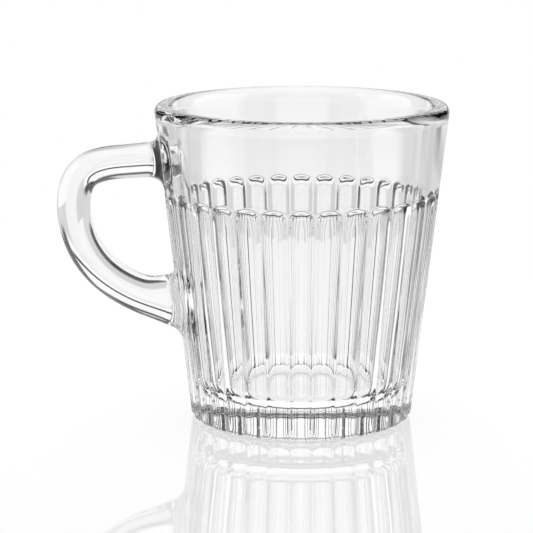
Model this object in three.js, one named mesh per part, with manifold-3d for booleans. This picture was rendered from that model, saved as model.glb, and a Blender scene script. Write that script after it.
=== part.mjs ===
// Clear pressed-glass tea mug in two glass pieces: a thick tapered bowl with a plain band under a
// rounded rim, flutes below it and a heavy solid foot, and a loop handle fused to two lands.
// Millimetres, +Z up. The bowl turns about Z and stands on z = 0. The handle points along -X.
import * as THREE from "three";
import { mergeVertices } from "three/addons/utils/BufferGeometryUtils.js";
import Module from "manifold-3d";

// Bowl: outside
const HEIGHT = 90;
const RIM_RADIUS = 41.4;
const FOOT_RADIUS = 31.3;
const FOOT_CORNER = 3;

// Bowl: inside
const RIM_WALL = 6.1;
const RIM_ROUND = 1.9;
const FOOT_WALL = 4.7;
const FLOOR_THICKNESS = 9;
const INNER_CORNER = 10;

// Flutes: scooped into the outer wall, side by side, with a narrow ridge between neighbours. The
// squareness is the power of the scoop's curve: 2 is a plain round scoop, more has a flatter bottom.
const FLUTE_COUNT = 32;
const FLUTE_DEPTH = 1.1;
const FLUTE_SQUARENESS = 3;
const BAND_HEIGHT = 23.1;
const FLUTE_RUNOUT = 1.6;

// Handle: a rounded bar bent into a loop
const HANDLE_THICK = 9.7;
const HANDLE_WIDE = 11;
const HANDLE_CORNER = 3.8;
const HANDLE_BOW = 22.9;

// Lands: the flat ends of two short roots on the bowl, where the handle is fused on
const UPPER_DROP = 16;
const UPPER_TALL = 9.9;
const UPPER_STANDOFF = 3.9;
const LOWER_RISE = 33.6;
const LOWER_TALL = 14.5;
const LOWER_STANDOFF = 3.2;
const ROOT_FILLET = 4.5;
const ROOT_BURY = 1.6;

// Facets
const FLUTE_FACETS = 6;
const INNER_FACETS = 96;
const ARC_FACETS = 4;
const CORNER_FACETS = 7;
const SECTION_FACETS = 6;
const HANDLE_STATIONS = 40;

// The loop's line from the upper land to the lower one: share of the drop between the lands, share of
// the greatest bow, and thickness as a share of the bar's own
const LOOP_SHARES = [
  [0.012, 0.26, 0.99],
  [0.034, 0.56, 1],
  [0.1, 0.81, 1],
  [0.25, 0.955, 1],
  [0.45, 0.992, 1],
  [0.64, 0.915, 1.02],
  [0.8, 0.73, 1.05],
  [0.92, 0.45, 1.1],
  [0.977, 0.21, 1.22],
];

const wasm = await Module();
wasm.setup();

// The roundings of the rim leave a narrow flat between them, however thin the wall is.
const rimRound = Math.min(RIM_ROUND, RIM_WALL * 0.45);
const shoulder = HEIGHT - rimRound;
const fluteEnd = HEIGHT - BAND_HEIGHT;
const fluteFull = fluteEnd - FLUTE_RUNOUT;
const outerFacets = FLUTE_COUNT * FLUTE_FACETS;

// Radius of the outer cone at a height, out to the ridges between the flutes.
function wallRadius(z) {
  return FOOT_RADIUS + ((RIM_RADIUS - FOOT_RADIUS) * z) / shoulder;
}

// Depth of the flutes: full below, running out in a slope at the top, so each flute ends in an arch.
function fluteDepth(share, z) {
  const scoop = FLUTE_DEPTH * (1 - share ** FLUTE_SQUARENESS);
  const lost = (FLUTE_DEPTH * Math.max(0, z - fluteFull)) / FLUTE_RUNOUT;
  return Math.max(0, scoop - lost);
}

// A three.js geometry as a solid.
function solid(geometry) {
  const bare = new THREE.BufferGeometry();
  bare.setAttribute("position", geometry.getAttribute("position").clone());
  bare.setIndex(geometry.index);
  const merged = mergeVertices(bare, 1e-4);
  const mesh = new wasm.Mesh({
    numProp: 3,
    vertProperties: merged.attributes.position.array,
    triVerts: new Uint32Array(merged.index.array),
  });
  mesh.merge();
  return new wasm.Manifold(mesh);
}

// A solid as a three.js geometry.
function geometryOf(body) {
  const mesh = body.getMesh();
  const geometry = new THREE.BufferGeometry();
  const points = new Float32Array(mesh.numVert * 3);
  for (let i = 0; i < mesh.numVert; i += 1) {
    points.set(mesh.vertProperties.subarray(i * mesh.numProp, i * mesh.numProp + 3), i * 3);
  }
  geometry.setAttribute("position", new THREE.BufferAttribute(points, 3));
  geometry.setIndex(new THREE.BufferAttribute(new Uint32Array(mesh.triVerts), 1));
  const flat = geometry.toNonIndexed();
  flat.computeVertexNormals();
  return flat;
}

// Points of an arc in the profile plane, from one angle to another.
function arc(x, z, radius, from, to, count) {
  const points = [];
  for (let i = 0; i <= count; i += 1) {
    const angle = from + ((to - from) * i) / count;
    points.push(new THREE.Vector2(x + radius * Math.cos(angle), z + radius * Math.sin(angle)));
  }
  return points;
}

// A profile turned about Z. Its first facet edge faces -Y.
function turned(profile, facets) {
  return new THREE.LatheGeometry(profile, facets).rotateX(Math.PI / 2);
}

// The bowl's outside as a full solid: foot, fluted wall, plain band and the rim's outer rounding.
function outside() {
  const cornerRadius = wallRadius(FOOT_CORNER) - FOOT_CORNER;
  const profile = [new THREE.Vector2(0, 0)];
  profile.push(...arc(cornerRadius, FOOT_CORNER, FOOT_CORNER, -Math.PI / 2, 0, ARC_FACETS));
  for (let i = 0; i <= ARC_FACETS; i += 1) {
    const z = fluteFull + (FLUTE_RUNOUT * i) / ARC_FACETS;
    profile.push(new THREE.Vector2(wallRadius(z), z));
  }
  const rimCentre = wallRadius(shoulder) - rimRound;
  profile.push(...arc(rimCentre, shoulder, rimRound, 0, Math.PI / 2, ARC_FACETS));
  profile.push(new THREE.Vector2(0, HEIGHT));
  const geometry = turned(profile, outerFacets);
  const position = geometry.getAttribute("position");
  const rows = profile.length;
  for (let i = 0; i < position.count; i += 1) {
    const column = Math.floor(i / rows) % FLUTE_FACETS;
    const share = Math.min(column, FLUTE_FACETS - column) / (FLUTE_FACETS / 2);
    const radius = Math.hypot(position.getX(i), position.getY(i));
    const z = position.getZ(i);
    if (radius > FOOT_RADIUS / 2 && z > 0 && z < fluteEnd) {
      const rounding = Math.min(1, z / FOOT_CORNER);
      const scale = 1 - (fluteDepth(share, z) * Math.sqrt(rounding)) / radius;
      position.setXY(i, position.getX(i) * scale, position.getY(i) * scale);
    }
  }
  return solid(geometry);
}

// The space inside the bowl, from the floor up past the rim's inner rounding and out of the top.
function inside() {
  const floorRadius = wallRadius(FLOOR_THICKNESS) - FOOT_WALL;
  const mouthRadius = wallRadius(shoulder) - RIM_WALL;
  const rise = FLOOR_THICKNESS + INNER_CORNER;
  const lean = Math.atan2(mouthRadius - floorRadius, shoulder - FLOOR_THICKNESS);
  const cornerX = floorRadius + INNER_CORNER * Math.tan(lean) - INNER_CORNER / Math.cos(lean);
  const profile = [new THREE.Vector2(0, FLOOR_THICKNESS)];
  profile.push(...arc(cornerX, rise, INNER_CORNER, -Math.PI / 2, -lean, CORNER_FACETS));
  profile.push(...arc(mouthRadius + rimRound, shoulder, rimRound, Math.PI, Math.PI / 2, ARC_FACETS));
  profile.push(new THREE.Vector2(mouthRadius + rimRound, HEIGHT + rimRound));
  profile.push(new THREE.Vector2(0, HEIGHT + rimRound));
  return solid(turned(profile, INNER_FACETS));
}

// A rounded bar's section: points around it as [across, along Y], from half sizes.
function barSection(halfThick, halfWide) {
  const corner = Math.min(HANDLE_CORNER, halfThick * 0.95, halfWide * 0.95);
  const points = [];
  for (let side = 0; side < 4; side += 1) {
    const signThick = side === 0 || side === 3 ? 1 : -1;
    const signWide = side < 2 ? 1 : -1;
    for (let i = 0; i < SECTION_FACETS; i += 1) {
      const angle = (side + i / (SECTION_FACETS - 1)) * (Math.PI / 2);
      const across = signThick * (halfThick - corner) + corner * Math.cos(angle);
      const along = signWide * (halfWide - corner) + corner * Math.sin(angle);
      points.push([across, along]);
    }
  }
  return points;
}

// A skin through sections with the same number of points, closed by a flat end at each side.
function loft(sections) {
  const count = sections[0].length;
  const positions = sections.flat().flatMap((p) => [p.x, p.y, p.z]);
  const index = [];
  for (let s = 0; s + 1 < sections.length; s += 1) {
    for (let i = 0; i < count; i += 1) {
      const a = s * count + i;
      const b = s * count + ((i + 1) % count);
      index.push(a, b, b + count, a, b + count, a + count);
    }
  }
  const last = (sections.length - 1) * count;
  for (let i = 1; i + 1 < count; i += 1) {
    index.push(0, i + 1, i);
    index.push(last, last + i, last + i + 1);
  }
  const geometry = new THREE.BufferGeometry();
  geometry.setAttribute("position", new THREE.Float32BufferAttribute(positions, 3));
  geometry.setIndex(index);
  return geometry;
}

// The two lands: centre height, half height and the plane x that the handle meets.
const lands = [
  { z: HEIGHT - UPPER_DROP, half: UPPER_TALL / 2, standoff: UPPER_STANDOFF },
  { z: LOWER_RISE, half: LOWER_TALL / 2, standoff: LOWER_STANDOFF },
].map((land) => ({ ...land, x: -(wallRadius(land.z) + land.standoff) }));
const landHalfWide = HANDLE_WIDE / 2;

// Growth of a root at a distance from the wall: a quarter-round fillet.
function filletGrowth(distance) {
  const inward = Math.min(1, Math.max(0, 1 - distance / ROOT_FILLET));
  return ROOT_FILLET * (1 - Math.sqrt(1 - inward * inward));
}

// A root: from its flat land it flares into the wall and ends buried in the glass.
function root(land) {
  const top = land.z + land.half;
  const bottom = land.z - land.half;
  const wallTop = wallRadius(top + ROOT_FILLET / 2);
  const wallBottom = wallRadius(bottom - ROOT_FILLET / 2);
  const grownTop = filletGrowth(-land.x - wallTop);
  const grownBottom = filletGrowth(-land.x - wallBottom);
  const depth = -land.x - wallBottom + ROOT_BURY;
  const steps = ARC_FACETS * 2;
  const sections = [];
  for (let i = 0; i <= steps; i += 1) {
    const x = land.x + (depth * i) / steps;
    const high = top + filletGrowth(-x - wallTop) - grownTop;
    const low = bottom - filletGrowth(-x - wallBottom) + grownBottom;
    const wide = landHalfWide + filletGrowth(-x - wallBottom) / 2 - grownBottom / 2;
    const middle = (high + low) / 2;
    const ring = barSection((high - low) / 2, wide);
    sections.push(ring.map(([across, along]) => new THREE.Vector3(x, along, middle + across)));
  }
  return solid(loft(sections.reverse()));
}

// The handle: the bar's section carried along the loop, square to its line, flat on both lands.
function handle() {
  const [upper, lower] = lands;
  const stations = [new THREE.Vector3(upper.x, upper.half, upper.z)];
  for (const [down, out, thick] of LOOP_SHARES) {
    const x = THREE.MathUtils.lerp(upper.x, lower.x, down) - HANDLE_BOW * out;
    const z = THREE.MathUtils.lerp(upper.z, lower.z, down);
    stations.push(new THREE.Vector3(x, (thick * HANDLE_THICK) / 2, z));
  }
  stations.push(new THREE.Vector3(lower.x, lower.half, lower.z));
  const line = new THREE.CatmullRomCurve3(stations, false, "centripetal");
  const sections = [];
  for (let i = 0; i <= HANDLE_STATIONS; i += 1) {
    const at = line.getPointAt(i / HANDLE_STATIONS);
    const run = line.getTangentAt(i / HANDLE_STATIONS);
    const out = new THREE.Vector2(run.z, -run.x).normalize();
    if (i === 0) {
      out.set(0, 1);
    }
    if (i === HANDLE_STATIONS) {
      out.set(0, -1);
    }
    const ring = barSection(at.y, landHalfWide);
    sections.push(
      ring.map(([across, along]) => new THREE.Vector3(at.x + out.x * across, along, at.z + out.y * across)),
    );
  }
  return solid(loft(sections));
}

const bowlSolid = outside().add(root(lands[0])).add(root(lands[1])).subtract(inside());
const handleSolid = handle();

const mug = new THREE.Group();
mug.name = "glass_tea_mug";

const bowl = new THREE.Mesh(
  geometryOf(bowlSolid),
  new THREE.MeshStandardMaterial({ color: 0xeef4f3, roughness: 0.03, metalness: 0 }),
);
bowl.name = "bowl";
mug.add(bowl);

const loop = new THREE.Mesh(
  geometryOf(handleSolid),
  new THREE.MeshStandardMaterial({ color: 0xeef4f3, roughness: 0.03, metalness: 0 }),
);
loop.name = "handle";
mug.add(loop);

export default mug;
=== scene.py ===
import math

import bmesh
import bpy
import numpy as np
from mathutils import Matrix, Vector


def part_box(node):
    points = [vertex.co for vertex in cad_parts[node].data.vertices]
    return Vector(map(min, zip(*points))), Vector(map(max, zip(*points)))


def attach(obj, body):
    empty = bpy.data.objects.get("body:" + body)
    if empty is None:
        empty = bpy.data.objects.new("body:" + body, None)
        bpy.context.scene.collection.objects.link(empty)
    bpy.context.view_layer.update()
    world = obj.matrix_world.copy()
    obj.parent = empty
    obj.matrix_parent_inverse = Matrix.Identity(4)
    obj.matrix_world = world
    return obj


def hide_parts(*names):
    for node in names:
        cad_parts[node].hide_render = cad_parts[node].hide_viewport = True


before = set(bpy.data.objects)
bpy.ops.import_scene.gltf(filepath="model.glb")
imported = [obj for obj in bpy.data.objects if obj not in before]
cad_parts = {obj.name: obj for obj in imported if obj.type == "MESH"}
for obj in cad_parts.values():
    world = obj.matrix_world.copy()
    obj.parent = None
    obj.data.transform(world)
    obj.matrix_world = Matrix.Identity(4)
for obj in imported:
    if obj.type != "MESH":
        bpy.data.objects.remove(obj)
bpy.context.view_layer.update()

scene = bpy.context.scene


# Bowl: the body of the mug, clear soda-lime glass pressed in one mould with a thick tapered wall.
# A plain band lies under the flat fire-polished rim, and 32 scooped flutes run from the band down to
# the heavy foot. On one side two short stubs of the same glass stand out to take the handle.
_, bowl_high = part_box("bowl")
mug_height = bowl_high.z
rim_radius = bowl_high.y
foot_radius = 0.0313
foot_corner = 0.0025
rim_round = 0.0019
rim_wall = 0.0061
mouth_round = 0.0026
mouth_tall = 1.9
inner_bow = 0.0009
foot_wall = 0.0047
floor_thickness = 0.0085
inner_corner = 0.006
flute_count = 32
flute_depth = 0.0010
flute_squareness = 3.5
ridge_round = 0.12
band_height = 0.0231
flute_runout = 0.0018
runout_curl = 2.6
runout_softness = 0.0001
columns_per_flute = 22
ridge_crowding = 0.55
rim_points = 2
flat_points = 3
round_points = 9
band_points = 11
curl_points = 15
inner_points = 23
wall_points = 27

shoulder = mug_height - rim_round
taper = (rim_radius - foot_radius) / shoulder
outer_lean = math.atan(taper)
mouth_radius = rim_radius - rim_wall
floor_radius = foot_radius + taper * floor_thickness - foot_wall
mouth_low = mug_height - mouth_round * mouth_tall
inner_taper = (mouth_radius - floor_radius) / (mouth_low - floor_thickness)
inner_lean = math.atan(inner_taper)


def wall_radius(height):
    """Radius of the plain cone that the flutes are scooped from."""
    return foot_radius + taper * height


def arc(centre, radius, start, end, points, tall=1):
    """Points of an arc in the plane of radius and height, drawn out upwards if tall."""
    turns = np.linspace(start, end, points)
    return [(centre[0] + radius * math.cos(turn), centre[1] + radius * tall * math.sin(turn))
            for turn in turns]


def straight(start, end, points, bow=0):
    """Points of a straight run without its two ends, bowed outwards in the middle if asked."""
    shares = np.linspace(0, 1, points + 2)[1:-1]
    radii = start[0] + (end[0] - start[0]) * shares + bow * np.sin(math.pi * shares)
    heights = start[1] + (end[1] - start[1]) * shares
    return list(zip(radii.tolist(), heights.tolist()))


def wall_run(heights):
    """Points of the outer cone at the given heights."""
    return [(wall_radius(height), height) for height in heights]


quarter = math.pi / 2
flute_top = mug_height - band_height
flute_full = flute_top - flute_runout
foot_centre = (wall_radius(foot_corner) - foot_corner, foot_corner)
lip_height = shoulder - rim_round * math.sin(outer_lean)
lip_centre = (wall_radius(lip_height) - rim_round * math.cos(outer_lean), shoulder)
mouth_centre = (mouth_radius + mouth_round, mouth_low)
well_centre = (floor_radius + inner_corner * (inner_taper - 1 / math.cos(inner_lean)),
               floor_thickness + inner_corner)

underside = [(0, 0)] + straight((0, 0), (foot_centre[0], 0), flat_points)
foot_edge = arc(foot_centre, foot_corner, -quarter, 0, round_points)
lower_wall = wall_run(np.linspace(foot_corner, flute_full, wall_points)[1:])
runout_wall = wall_run(np.linspace(flute_full, flute_top, curl_points)[1:])
band_wall = wall_run(np.linspace(flute_top, lip_height, band_points)[1:-1])
lip = arc(lip_centre, rim_round, -outer_lean, quarter, round_points)
rim_flat = straight(lip[-1], (mouth_centre[0], mug_height), rim_points)
mouth_end = 2 * quarter - inner_lean / 2
mouth = arc(mouth_centre, mouth_round, quarter, mouth_end, curl_points, mouth_tall)
well = arc(well_centre, inner_corner, -inner_lean, -quarter, curl_points)
inner_wall = straight(mouth[-1], well[0], inner_points, inner_bow)
floor_middle = (0, floor_thickness)
well_floor = straight(well[-1], floor_middle, flat_points) + [floor_middle]

outside = underside + foot_edge + lower_wall + runout_wall + band_wall
inside = lip + rim_flat + mouth + inner_wall + well + well_floor
bowl_line = outside + inside
scoop_shares = [math.sqrt(min(1, height / foot_corner)) for radius, height in outside]
scoop_shares += [0] * len(inside)
wall_marks = [0] * len(underside + foot_edge)
wall_marks += [1] * (len(outside) - len(wall_marks)) + [0] * len(inside)


def spine(name, points, **traits):
    """An object that is a bare line of points, each point with its own traits."""
    mesh = bpy.data.meshes.new(name)
    mesh.from_pydata(points, [(i, i + 1) for i in range(len(points) - 1)], [])
    for trait, values in traits.items():
        if np.ndim(values) == 2:
            layer = mesh.attributes.new(trait, "FLOAT_VECTOR", "POINT")
            layer.data.foreach_set("vector", np.ravel(values))
        else:
            layer = mesh.attributes.new(trait, "FLOAT", "POINT")
            layer.data.foreach_set("value", values)
    piece = bpy.data.objects.new(name, mesh)
    scene.collection.objects.link(piece)
    return piece


def shaping_tree(name, sizes):
    """A geometry tree with a spine and named sizes going in, and its input sockets."""
    tree = bpy.data.node_groups.new(name, "GeometryNodeTree")
    tree.interface.new_socket("Spine", in_out="INPUT", socket_type="NodeSocketGeometry")
    for label, kind in sizes.items():
        tree.interface.new_socket(label, in_out="INPUT", socket_type="NodeSocket" + kind)
    tree.interface.new_socket("Skin", in_out="OUTPUT", socket_type="NodeSocketGeometry")
    return tree, tree.nodes.new("NodeGroupInput").outputs


def step(tree, kind, inputs, **settings):
    """Adds one node, with its settings and inputs, and gives its outputs."""
    made = tree.nodes.new(kind)
    for key, value in settings.items():
        setattr(made, key, value)
    for key, value in inputs.items():
        if isinstance(value, bpy.types.NodeSocket):
            tree.links.new(value, made.inputs[key])
        else:
            made.inputs[key].default_value = value
    return made.outputs


def calc(tree, operation, *terms):
    """Adds one sum, with sockets or numbers as its terms."""
    return step(tree, "ShaderNodeMath", dict(enumerate(terms)), operation=operation)[0]


def trait_at(tree, spine_socket, value, row, kind):
    """A trait of the spine's point number row."""
    picked = {"Geometry": spine_socket, "Value": value, "Index": row}
    return step(tree, "GeometryNodeSampleIndex", picked, data_type=kind)[0]


def named_trait(tree, name, kind):
    """A trait of the spine by its name."""
    return step(tree, "GeometryNodeInputNamedAttribute", {"Name": name}, data_type=kind)[0]


def sheet_of_rows(tree, rows, columns):
    """A flat sheet with a row for each spine point, each vertex's row and its share of a turn."""
    across = calc(tree, "ADD", columns, 1)
    size = {"Size X": 1, "Size Y": 1, "Vertices X": across, "Vertices Y": rows}
    sheet = step(tree, "GeometryNodeMeshGrid", size)[0]
    place = step(tree, "GeometryNodeInputPosition", {})[0]
    flat = step(tree, "ShaderNodeSeparateXYZ", {0: place})
    turn = calc(tree, "ADD", flat[0], 0.5)
    last_row = calc(tree, "SUBTRACT", rows, 1)
    row = calc(tree, "ROUND", calc(tree, "MULTIPLY", calc(tree, "ADD", flat[1], 0.5), last_row))
    return sheet, row, turn


def finish_skin(tree, sheet, position, material):
    """Moves the sheet into place, welds its seam and gives it its glass."""
    weld = 1e-6
    skin = step(tree, "GeometryNodeSetPosition", {"Geometry": sheet, "Position": position})[0]
    skin = step(tree, "GeometryNodeMergeByDistance", {"Geometry": skin, "Distance": weld})[0]
    skin = step(tree, "GeometryNodeSetShadeSmooth", {"Geometry": skin})[0]
    skin = step(tree, "GeometryNodeRealizeInstances", {"Geometry": skin})[0]
    skin = step(tree, "GeometryNodeSetMaterial", {"Geometry": skin, "Material": material})[0]
    step(tree, "NodeGroupOutput", {0: skin})


def grow(piece, tree, values):
    """Runs a tree on a spine with its named inputs set, and keeps the result as a plain mesh."""
    modifier = piece.modifiers.new(tree.name, "NODES")
    modifier.node_group = tree
    for item in tree.interface.items_tree:
        if item.in_out == "INPUT" and item.name in values:
            modifier[item.identifier] = values[item.name]
    graph = bpy.context.evaluated_depsgraph_get()
    mesh = bpy.data.meshes.new_from_object(piece.evaluated_get(graph), depsgraph=graph)
    piece.modifiers.clear()
    piece.data = mesh


flute_tree, flute_in = shaping_tree("fluted_bowl", {
    "Rows": "Int", "Columns": "Int", "Flutes": "Int", "Scoop Depth": "Float",
    "Squareness": "Float", "Ridge Round": "Float", "Scoop Full Height": "Float",
    "Run-out": "Float", "Run-out Curl": "Float", "Run-out Softness": "Float", "Crowding": "Float",
    "Glass": "Material"})


def fluted_skin(tree, sizes):
    """The rule of the bowl: its line turned round, less a scoop for each flute."""
    sheet, row, turn = sheet_of_rows(tree, sizes["Rows"], sizes["Columns"])
    place = step(tree, "GeometryNodeInputPosition", {})[0]
    point = trait_at(tree, sizes["Spine"], place, row, "FLOAT_VECTOR")
    radius, _, height = step(tree, "ShaderNodeSeparateXYZ", {0: point})[:3]
    share = named_trait(tree, "scoop_share", "FLOAT")
    share = trait_at(tree, sizes["Spine"], share, row, "FLOAT")
    wall = named_trait(tree, "wall_mark", "FLOAT")
    wall = trait_at(tree, sizes["Spine"], wall, row, "FLOAT")

    flutes_passed = calc(tree, "MULTIPLY", turn, sizes["Flutes"])
    wave = calc(tree, "SINE", calc(tree, "MULTIPLY", flutes_passed, 2 * math.pi))
    nudge = calc(tree, "MULTIPLY", wave, calc(tree, "DIVIDE", sizes["Crowding"], 2 * math.pi))
    crowded = calc(tree, "ADD", flutes_passed, nudge)
    phase = calc(tree, "FRACT", calc(tree, "ADD", crowded, 0.5))
    from_centre = calc(tree, "ABSOLUTE", calc(tree, "MULTIPLY_ADD", phase, 2, -1))
    to_ridge = calc(tree, "SUBTRACT", 1, from_centre)

    blunt = sizes["Ridge Round"]
    blunt_square = calc(tree, "MULTIPLY", blunt, blunt)
    eased = calc(tree, "MULTIPLY_ADD", to_ridge, to_ridge, blunt_square)
    eased = calc(tree, "SUBTRACT", calc(tree, "SQRT", eased), blunt)
    whole = calc(tree, "SQRT", calc(tree, "ADD", blunt_square, 1))
    eased = calc(tree, "DIVIDE", eased, calc(tree, "SUBTRACT", whole, blunt))
    rise = calc(tree, "MAXIMUM", calc(tree, "SUBTRACT", 1, eased), 0)
    rise = calc(tree, "POWER", rise, sizes["Squareness"])
    scoop = calc(tree, "MULTIPLY", calc(tree, "SUBTRACT", 1, rise), sizes["Scoop Depth"])

    arch = calc(tree, "SUBTRACT", 1, calc(tree, "MULTIPLY", from_centre, from_centre))
    arch = calc(tree, "MULTIPLY_ADD", arch, sizes["Run-out"], sizes["Scoop Full Height"])
    below = calc(tree, "DIVIDE", calc(tree, "SUBTRACT", arch, height), sizes["Run-out"])
    below = calc(tree, "POWER", calc(tree, "MAXIMUM", below, 0), sizes["Run-out Curl"])
    bevel = calc(tree, "MULTIPLY", below, sizes["Scoop Depth"])
    cut = calc(tree, "SMOOTH_MIN", scoop, bevel, sizes["Run-out Softness"])
    cut = calc(tree, "MAXIMUM", cut, 0)
    reach = calc(tree, "SUBTRACT", radius, calc(tree, "MULTIPLY", cut, share))

    angle = calc(tree, "DIVIDE", crowded, sizes["Flutes"])
    angle = calc(tree, "MULTIPLY", angle, 2 * math.pi)
    x = calc(tree, "MULTIPLY", reach, calc(tree, "SINE", angle))
    y = calc(tree, "MULTIPLY", reach, calc(tree, "MULTIPLY", calc(tree, "COSINE", angle), -1))
    position = step(tree, "ShaderNodeCombineXYZ", {0: x, 1: y, 2: height})[0]
    marked = {"Geometry": sheet, "Name": "outer_wall", "Value": wall}
    sheet = step(tree, "GeometryNodeStoreNamedAttribute", marked, data_type="FLOAT")[0]
    finish_skin(tree, sheet, position, sizes["Glass"])


def clear_glass(name):
    """Clear pressed glass, with the faint waviness that the mould leaves on its skin."""
    ripple_size = 55
    ripple_height = 0.00002
    material = bpy.data.materials.new(name)
    material.use_nodes = True
    tree = material.node_tree
    shader = tree.nodes["Principled BSDF"]
    shader.inputs["Base Color"].default_value = (1, 1, 1, 1)
    shader.inputs["Roughness"].default_value = 0
    shader.inputs["IOR"].default_value = 1.5
    shader.inputs["Transmission Weight"].default_value = 1
    place = step(tree, "ShaderNodeTexCoord", {})["Object"]
    ripple = step(tree, "ShaderNodeTexNoise", {"Vector": place, "Scale": ripple_size, "Detail": 1})
    waves = {"Height": ripple[0], "Strength": 1, "Distance": ripple_height}
    tree.links.new(step(tree, "ShaderNodeBump", waves)[0], shader.inputs["Normal"])
    return material


def fused_seam(name):
    """Where two pieces of hot glass have run together: nothing is left to see."""
    material = bpy.data.materials.new(name)
    material.use_nodes = True
    tree = material.node_tree
    tree.nodes.remove(tree.nodes["Principled BSDF"])
    clear = step(tree, "ShaderNodeBsdfTransparent", {"Color": (1, 1, 1, 1)})[0]
    tree.links.new(clear, tree.nodes["Material Output"].inputs["Surface"])
    return material


fluted_skin(flute_tree, flute_in)
bowl_glass = clear_glass("bowl_glass")
seam = fused_seam("fused_seam")
bowl = spine("bowl_glass_body", [(radius, 0, height) for radius, height in bowl_line],
             scoop_share=scoop_shares, wall_mark=wall_marks)
grow(bowl, flute_tree, {
    "Rows": len(bowl_line), "Columns": flute_count * columns_per_flute, "Flutes": flute_count,
    "Scoop Depth": flute_depth, "Squareness": flute_squareness, "Ridge Round": ridge_round,
    "Scoop Full Height": flute_full, "Run-out": flute_runout, "Run-out Curl": runout_curl,
    "Run-out Softness": runout_softness, "Crowding": ridge_crowding, "Glass": bowl_glass})

_, handle_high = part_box("handle")
bar_half_wide = handle_high.y
bar_squareness = 2.1
stub_flare = 0.0045
upper_land_drop = 0.016
upper_land = {"height": mug_height - upper_land_drop, "half_tall": 0.00495, "stand": 0.0039,
              "splay_up": 1.0, "splay_down": 1.0}
lower_land = {"height": 0.0336, "half_tall": 0.00725, "stand": 0.0032,
              "splay_up": 1.0, "splay_down": 1.2}
for land in (upper_land, lower_land):
    land["x"] = -(wall_radius(land["height"]) + land["stand"])


def lay_glass(piece, glass):
    """Gives a piece its glass all over, with the fused seam as its second finish."""
    piece.data.materials.clear()
    piece.data.materials.append(glass)
    piece.data.materials.append(seam)
    piece.data.polygons.foreach_set("material_index", [0] * len(piece.data.polygons))


def open_wall(shell, land):
    """Takes out the wall behind a stub and gives the loop of vertices round the hole."""
    half_angle = (bar_half_wide + stub_flare) / wall_radius(land["height"])
    half_height = land["half_tall"] + stub_flare
    outer = shell.verts.layers.float["outer_wall"]
    covered = []
    for face in shell.faces:
        middle = face.calc_center_median()
        aside = abs(math.atan2(middle.y, -middle.x))
        beyond = abs(middle.z - land["height"])
        if aside < half_angle and beyond < half_height and face.verts[0][outer] > 0:
            covered.append(face)
    bmesh.ops.delete(shell, geom=covered, context="FACES")
    rim = [edge for edge in shell.edges if edge.is_boundary]
    loop = [rim[0].verts[0], rim[0].verts[1]]
    while True:
        ahead = [edge.other_vert(loop[-1]) for edge in loop[-1].link_edges if edge.is_boundary]
        ahead = [vertex for vertex in ahead if vertex is not loop[-2]]
        if ahead[0] is loop[0]:
            return loop
        loop.append(ahead[0])


def add_stub(shell, land):
    """Grows a stub out of the hole in the wall, flared at its foot, and closes it with a flat land."""
    rings = 14
    loop = open_wall(shell, land)
    angles = [math.atan2(vertex.co.y, -vertex.co.x) for vertex in loop]
    rises = [vertex.co.z - land["height"] for vertex in loop]
    half_angle = max(angles)
    half_rise = max(rises)
    half_drop = -min(rises)
    spokes = []
    for vertex, angle, rise in zip(loop, angles, rises):
        side = angle / half_angle
        up = rise / (half_rise if rise > 0 else half_drop)
        power = bar_squareness
        shrink = (abs(side) ** power + abs(up) ** power) ** (-1 / power)
        wide = side * shrink * bar_half_wide
        tall = up * shrink * land["half_tall"]
        splay = land["splay_up"] if up > 0 else land["splay_down"]
        knee_height = land["height"] + tall * splay
        knee_x = -math.sqrt((wall_radius(knee_height) - flute_depth / 2) ** 2 - wide ** 2)
        knee = Vector((knee_x, wide, knee_height))
        end = Vector((land["x"], wide, land["height"] + tall))
        spoke = [vertex]
        for share in np.linspace(0, 1, rings + 1)[1:]:
            rest = 1 - share
            point = rest ** 2 * vertex.co + 2 * share * rest * knee + share ** 2 * end
            spoke.append(shell.verts.new(point))
        spokes.append(spoke)
    for spoke, following in zip(spokes, spokes[1:] + spokes[:1]):
        for ring in range(rings):
            corners = (spoke[ring], spoke[ring + 1], following[ring + 1], following[ring])
            shell.faces.new(corners).smooth = True
    close_land(shell, [spoke[-1] for spoke in spokes])


def close_land(shell, edge_loop):
    """Closes an open end with a flat fan of the fused seam, its edge kept sharp."""
    middle = sum((vertex.co for vertex in edge_loop), Vector()) / len(edge_loop)
    hub = shell.verts.new(middle)
    for vertex, following in zip(edge_loop, edge_loop[1:] + edge_loop[:1]):
        leaf = shell.faces.new((vertex, following, hub))
        leaf.material_index = 1
        shell.edges.get((vertex, following)).smooth = False


lay_glass(bowl, bowl_glass)
shell = bmesh.new()
shell.from_mesh(bowl.data)
add_stub(shell, upper_land)
add_stub(shell, lower_land)
bmesh.ops.recalc_face_normals(shell, faces=shell.faces)
shell.to_mesh(bowl.data)
shell.free()
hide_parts("bowl")
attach(bowl, "root")


# Handle: a bar of the same clear glass with a rounded oblong section, bent hot into a loop.
# It leaves the upper stub nearly level, turns down in an open bow and swells where it meets the lower
# stub. Both ends are fused onto the flat lands of the stubs.
bar_half_thick = 0.00485
loop_bow = 0.0229
bar_rows = 110
bar_columns = 96
level_run = 0.16

# Stations of the loop: shares of the way down, of the bow outwards and of the bar's thickness.
loop_shares = [
    (0.012, 0.26, 0.99), (0.034, 0.56, 1.0), (0.1, 0.81, 1.0), (0.25, 0.955, 1.0),
    (0.45, 0.992, 1.0), (0.64, 0.915, 1.02), (0.8, 0.73, 1.05), (0.92, 0.45, 1.1),
    (0.977, 0.21, 1.22)]


def between(start, end, share):
    """A value at a share of the way from start to end."""
    return start + (end - start) * share


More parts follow.
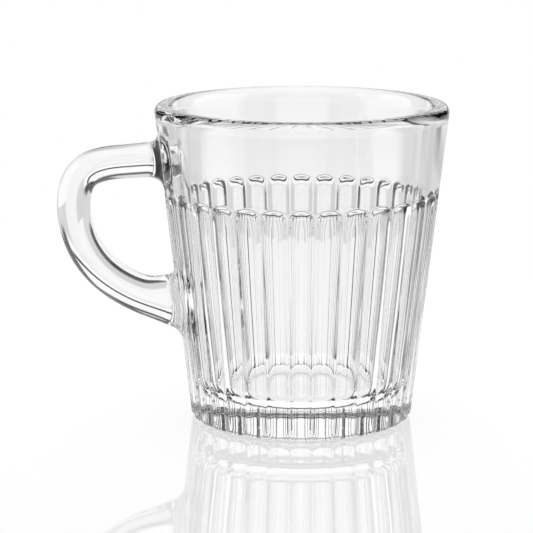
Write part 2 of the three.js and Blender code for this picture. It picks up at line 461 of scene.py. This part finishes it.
def loop_stations():
    """Middle of the bar and half its thickness, from the upper land to the lower."""
    stations = [(upper_land["x"], upper_land["height"], upper_land["half_tall"])]
    for down, out, thick in loop_shares:
        x = between(upper_land["x"], lower_land["x"], down) - loop_bow * out
        z = between(upper_land["height"], lower_land["height"], down)
        stations.append((x, z, thick * bar_half_thick))
    stations.append((lower_land["x"], lower_land["height"], lower_land["half_tall"]))
    return np.array(stations)


def even_curve(stations, count):
    """A smooth curve through the stations, as evenly spaced rows."""
    gaps = np.linalg.norm(np.diff(stations[:, :2], axis=0), axis=1)
    along = np.concatenate([[0], np.cumsum(gaps)])
    size = len(stations)
    matrix = np.eye(size)
    bends = np.zeros_like(stations)
    for i in range(1, size - 1):
        matrix[i, i - 1:i + 2] = gaps[i - 1], 2 * (gaps[i - 1] + gaps[i]), gaps[i]
        ahead = (stations[i + 1] - stations[i]) / gaps[i]
        behind = (stations[i] - stations[i - 1]) / gaps[i - 1]
        bends[i] = 6 * (ahead - behind)
    bends = np.linalg.solve(matrix, bends)
    rows = []
    for place in np.linspace(0, along[-1], count):
        i = min(np.searchsorted(along, place, side="right") - 1, size - 2)
        near = (place - along[i]) / gaps[i]
        far = 1 - near
        bow = (far ** 3 - far) * bends[i] + (near ** 3 - near) * bends[i + 1]
        rows.append(far * stations[i] + near * stations[i + 1] + bow * gaps[i] ** 2 / 6)
    return np.array(rows)


def bar_slants(rows):
    """Direction across the bar at each row, eased to upright at the two lands."""
    along = np.gradient(rows[:, :2], axis=0)
    slant = np.unwrap(np.arctan2(along[:, 1], along[:, 0])) - quarter
    ends = np.linspace(0, 1, len(rows))
    upper = np.clip(ends / level_run, 0, 1)
    lower = np.clip((1 - ends) / level_run, 0, 1)
    ease = [share * share * (3 - 2 * share) for share in (upper, lower)]
    upright = [round(slant[i] / quarter) * quarter for i in (0, -1)]
    slant = upright[0] + (slant - upright[0]) * ease[0]
    slant = upright[1] + (slant - upright[1]) * ease[1]
    return np.stack([np.cos(slant), np.zeros(len(rows)), np.sin(slant)], axis=1)


bar_tree, bar_in = shaping_tree("loop_bar", {
    "Rows": "Int", "Columns": "Int", "Half Width": "Float", "Squareness": "Float",
    "Glass": "Material"})


def rounded_swing(tree, swing, squareness):
    """A sine or cosine swelled towards the corners of an oblong."""
    size = calc(tree, "POWER", calc(tree, "ABSOLUTE", swing), calc(tree, "DIVIDE", 2, squareness))
    return calc(tree, "MULTIPLY", size, calc(tree, "SIGN", swing))


def bar_skin(tree, sizes):
    """The rule of the bar: a rounded oblong carried along the loop."""
    sheet, row, turn = sheet_of_rows(tree, sizes["Rows"], sizes["Columns"])
    place = step(tree, "GeometryNodeInputPosition", {})[0]
    middle = trait_at(tree, sizes["Spine"], place, row, "FLOAT_VECTOR")
    across = named_trait(tree, "across", "FLOAT_VECTOR")
    across = trait_at(tree, sizes["Spine"], across, row, "FLOAT_VECTOR")
    thick = named_trait(tree, "half_thick", "FLOAT")
    thick = trait_at(tree, sizes["Spine"], thick, row, "FLOAT")
    angle = calc(tree, "MULTIPLY", turn, 2 * math.pi)
    rise = rounded_swing(tree, calc(tree, "COSINE", angle), sizes["Squareness"])
    aside = rounded_swing(tree, calc(tree, "SINE", angle), sizes["Squareness"])
    lift = {0: across, "Scale": calc(tree, "MULTIPLY", rise, thick)}
    lift = step(tree, "ShaderNodeVectorMath", lift, operation="SCALE")[0]
    aside = calc(tree, "MULTIPLY", aside, sizes["Half Width"])
    aside = step(tree, "ShaderNodeCombineXYZ", {0: 0, 1: aside, 2: 0})[0]
    spread = step(tree, "ShaderNodeVectorMath", {0: lift, 1: aside}, operation="ADD")[0]
    position = step(tree, "ShaderNodeVectorMath", {0: middle, 1: spread}, operation="ADD")[0]
    finish_skin(tree, sheet, position, sizes["Glass"])


bar_skin(bar_tree, bar_in)
loop_rows = even_curve(loop_stations(), bar_rows)
handle = spine("handle_glass_bar", [(x, 0, z) for x, z, thick in loop_rows],
               across=bar_slants(loop_rows), half_thick=loop_rows[:, 2])
handle_glass = clear_glass("handle_glass")
grow(handle, bar_tree, {"Rows": bar_rows, "Columns": bar_columns, "Half Width": bar_half_wide,
                        "Squareness": bar_squareness, "Glass": handle_glass})


def close_bar(bar):
    """Closes the two open ends of the bar at the lands."""
    open_edges = [edge for edge in bar.edges if edge.is_boundary]
    while open_edges:
        edge = open_edges.pop()
        loop = list(edge.verts)
        while loop[-1] is not loop[0]:
            following = next(e for e in loop[-1].link_edges if e in open_edges)
            open_edges.remove(following)
            loop.append(following.other_vert(loop[-1]))
        close_land(bar, loop[:-1])


lay_glass(handle, handle_glass)
bar = bmesh.new()
bar.from_mesh(handle.data)
close_bar(bar)
bmesh.ops.recalc_face_normals(bar, faces=bar.faces)
bar.to_mesh(handle.data)
bar.free()
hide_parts("handle")
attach(handle, "root")


# Floor: a sheet of white board with a satin skin that mirrors the mug faintly.
# It lies a hair under the mug and fades out all round, so no edge shows against the white room.
floor_reach = 0.24
air_gap = 0.0001
fade_from = 0.14
fade_to = 0.23
board_grey = 0.3
board_satin = 0.03
board_gloss = 1.7
board_glow = 0.53
floor_mesh = bpy.data.meshes.new("floor")
floor_corners = [(x * floor_reach, y * floor_reach, -air_gap)
                 for x, y in ((-1, -1), (1, -1), (1, 1), (-1, 1))]
floor_mesh.from_pydata(floor_corners, [], [(0, 1, 2, 3)])
floor = bpy.data.objects.new("floor", floor_mesh)
scene.collection.objects.link(floor)
floor_paint = bpy.data.materials.new("white_board")
floor_paint.use_nodes = True
board = floor_paint.node_tree
board_shader = board.nodes["Principled BSDF"]
board_shader.inputs["Base Color"].default_value = (board_grey, board_grey, board_grey, 1)
board_shader.inputs["Roughness"].default_value = board_satin
board_shader.inputs["IOR"].default_value = board_gloss
board_shader.inputs["Emission Color"].default_value = (1, 1, 1, 1)
board_shader.inputs["Emission Strength"].default_value = board_glow
board_place = step(board, "ShaderNodeTexCoord", {})["Object"]
board_distance = step(board, "ShaderNodeVectorMath", {0: board_place}, operation="LENGTH")["Value"]
board_fade = step(board, "ShaderNodeMapRange", {
    "Value": board_distance, "From Min": fade_from, "From Max": fade_to,
    "To Min": 0, "To Max": 1}, interpolation_type="SMOOTHSTEP")[0]
board_clear = step(board, "ShaderNodeBsdfTransparent", {"Color": (1, 1, 1, 1)})[0]
board_mix = step(board, "ShaderNodeMixShader", {
    0: board_fade, 1: board_shader.outputs[0], 2: board_clear})[0]
board.links.new(board_mix, board.nodes["Material Output"].inputs["Surface"])
floor_mesh.materials.append(floor_paint)


# Studio: a white room, with a dome of soft-edged panels round the mug that only glass and mirrors see.
# A white backdrop and bright side boxes fill the glass, and the dark gaps between them draw its lines.
# A card on the table carries on the lower panels, and all this light dies away over many bounces.
room = bpy.data.worlds.new("white_room")
scene.world = room
room.use_nodes = True
room_light = room.node_tree.nodes["Background"]
room_light.inputs["Color"].default_value = (1, 1, 1, 1)
room_light.inputs["Strength"].default_value = 1
dome_columns = 241
dome_rows = 121
dome_radius = 2.0
table_white = 1.06
dark_room = 0.04
full_light_bounces = 5
last_light_bounce = 9

# Bearings are degrees from straight behind the mug and slopes are degrees from level.
# The four ends lie past those of the dome, so that no soft edge shows there.
mid_end = -10
side_end = 100
low_end = -100
high_end = 100
panels = {
    "dark gap above": {"bearing": (mid_end, 47), "slope": (22, 70), "edge": 4, "glow": 0.06},
    "top light": {"bearing": (mid_end, side_end), "slope": (56, high_end), "edge": 8, "glow": 0.85},
    "grey table": {"bearing": (mid_end, 47), "slope": (low_end, -2), "edge": 4, "glow": 0.66},
    "side box": {"bearing": (58, side_end), "slope": (-40, 45), "edge": 3, "glow": 1.25},
    "backdrop": {"bearing": (mid_end, 24), "slope": (-2, 22), "edge": 5, "glow": 1.02},
    "table middle": {"bearing": (mid_end, 12), "slope": (low_end, -2), "edge": 4, "glow": 0.92},
    "near table": {"bearing": (mid_end, 34), "slope": (low_end, -14), "edge": 5, "glow": 0.96},
    "side table": {"bearing": (58, side_end), "slope": (low_end, -14), "edge": 5, "glow": 1.02},
    "low table": {"bearing": (mid_end, side_end), "slope": (low_end, -36), "edge": 6, "glow": 0.98},
    "corner fill": {"bearing": (36, 60), "slope": (-26, 3), "edge": 4, "glow": 0.68},
    "grey above": {"bearing": (mid_end, 14), "slope": (30, 50), "edge": 4, "glow": 0.7},
    "backdrop slit": {"bearing": (mid_end, 24), "slope": (3.8, 7.2), "edge": 1, "glow": 0},
}


def soft_window(values, limits, edge):
    """1 inside the limits and 0 outside, with a soft edge on each side."""
    rising = np.clip((values - limits[0]) / edge + 0.5, 0, 1)
    falling = np.clip((limits[1] - values) / edge + 0.5, 0, 1)
    return rising ** 2 * (3 - 2 * rising) * falling ** 2 * (3 - 2 * falling)


def dome_glow(bearings, slopes):
    """Brightness of the dome, laid panel over panel; the front of the room repeats its back."""
    aside = np.minimum(np.abs(bearings), 180 - np.abs(bearings))
    glow = np.full(bearings.shape, dark_room)
    for panel in panels.values():
        cover = soft_window(aside, panel["bearing"], panel["edge"])
        cover = cover * soft_window(slopes, panel["slope"], panel["edge"])
        glow = glow + (panel["glow"] - glow) * cover
    return glow


def glowing_card(name, points, columns, glow):
    """A card from rows of points, each with its own brightness, which only glass and mirrors see.

    Clear glass sees the brightness, and a satin surface sees plain white.
    """
    faces = []
    for corner in range(len(points) - columns):
        if corner % columns < columns - 1:
            faces.append((corner, corner + 1, corner + columns + 1, corner + columns))
    mesh = bpy.data.meshes.new(name)
    mesh.from_pydata(points, [], faces)
    layer = mesh.attributes.new("glow", "FLOAT", "POINT")
    layer.data.foreach_set("value", np.ravel(glow))
    paint = bpy.data.materials.new(name + "_face")
    paint.use_nodes = True
    tree = paint.node_tree
    tree.nodes.remove(tree.nodes["Principled BSDF"])
    level = step(tree, "ShaderNodeAttribute", {}, attribute_name="glow")["Fac"]
    path = step(tree, "ShaderNodeLightPath", {})
    dimmed = calc(tree, "SUBTRACT", level, 1)
    level = calc(tree, "MULTIPLY_ADD", dimmed, path["Is Singular Ray"], 1)
    loss = step(tree, "ShaderNodeMapRange", {
        "Value": path["Ray Depth"], "From Min": full_light_bounces, "From Max": last_light_bounce,
        "To Min": 1, "To Max": 0})[0]
    level = calc(tree, "MULTIPLY", level, loss)
    light = step(tree, "ShaderNodeEmission", {"Color": (1, 1, 1, 1), "Strength": level})[0]
    tree.links.new(light, tree.nodes["Material Output"].inputs["Surface"])
    mesh.materials.append(paint)
    stand = bpy.data.objects.new(name, mesh)
    scene.collection.objects.link(stand)
    stand.visible_camera = False
    stand.visible_diffuse = False
    stand.visible_shadow = False
    return stand


dome_bearings, dome_slopes = np.meshgrid(np.linspace(-180, 180, dome_columns),
                                         np.linspace(-90, 90, dome_rows))
dome_turns = np.radians(dome_bearings).ravel()
dome_tilts = np.radians(dome_slopes).ravel()
dome_points = dome_radius * np.stack([np.cos(dome_tilts) * np.sin(dome_turns),
                                      np.cos(dome_tilts) * np.cos(dome_turns),
                                      np.sin(dome_tilts)], axis=1)
glowing_card("studio_dome", dome_points.tolist(), dome_columns, dome_glow(dome_bearings, dome_slopes))

table_columns = 181
table_lift = 0.0002
under_reach = 0.048
near_reaches = (0.052, 0.19)
far_reaches = (0.24, 0.3)
near_slope = -30
far_slope = -20
table_bearings = np.linspace(-180, 180, table_columns)
under_mug = np.full(table_columns, table_white)
near_mug = dome_glow(table_bearings, np.full(table_columns, near_slope))
far_out = dome_glow(table_bearings, np.full(table_columns, far_slope))
table_rings = [(reach, -air_gap / 2, under_mug) for reach in (0, under_reach)]
table_rings += [(reach, table_lift, near_mug) for reach in near_reaches]
table_rings += [(reach, table_lift, far_out) for reach in far_reaches]
table_points = []
for reach, height, _ in table_rings:
    for bearing in np.radians(table_bearings):
        table_points.append((reach * math.sin(bearing), reach * math.cos(bearing), height))
table_glow = [glow for _, _, glow in table_rings]
table = glowing_card("table_light", table_points, table_columns, table_glow)
table.visible_glossy = False


# Camera: a long lens at the photograph's height and bearing, about 0.69 m away.
# It looks slightly down, and its light is followed through all the walls of the glass.
camera_stand = (0, -0.6692, 0.1792)
camera_lens = 162.1
look_down = 11.48
look_left = 0.85
glass_bounces = 32
mirror_bounces = 16
camera_data = bpy.data.cameras.new("camera")
camera_data.sensor_width = 36
camera_data.lens = camera_lens
camera = bpy.data.objects.new("camera", camera_data)
scene.collection.objects.link(camera)
camera.location = camera_stand
camera.rotation_euler = (quarter - math.radians(look_down), 0, math.radians(look_left))
scene.camera = camera
scene.view_settings.view_transform = "Standard"
scene.cycles.max_bounces = glass_bounces
scene.cycles.transmission_bounces = glass_bounces
scene.cycles.transparent_max_bounces = glass_bounces
scene.cycles.glossy_bounces = mirror_bounces
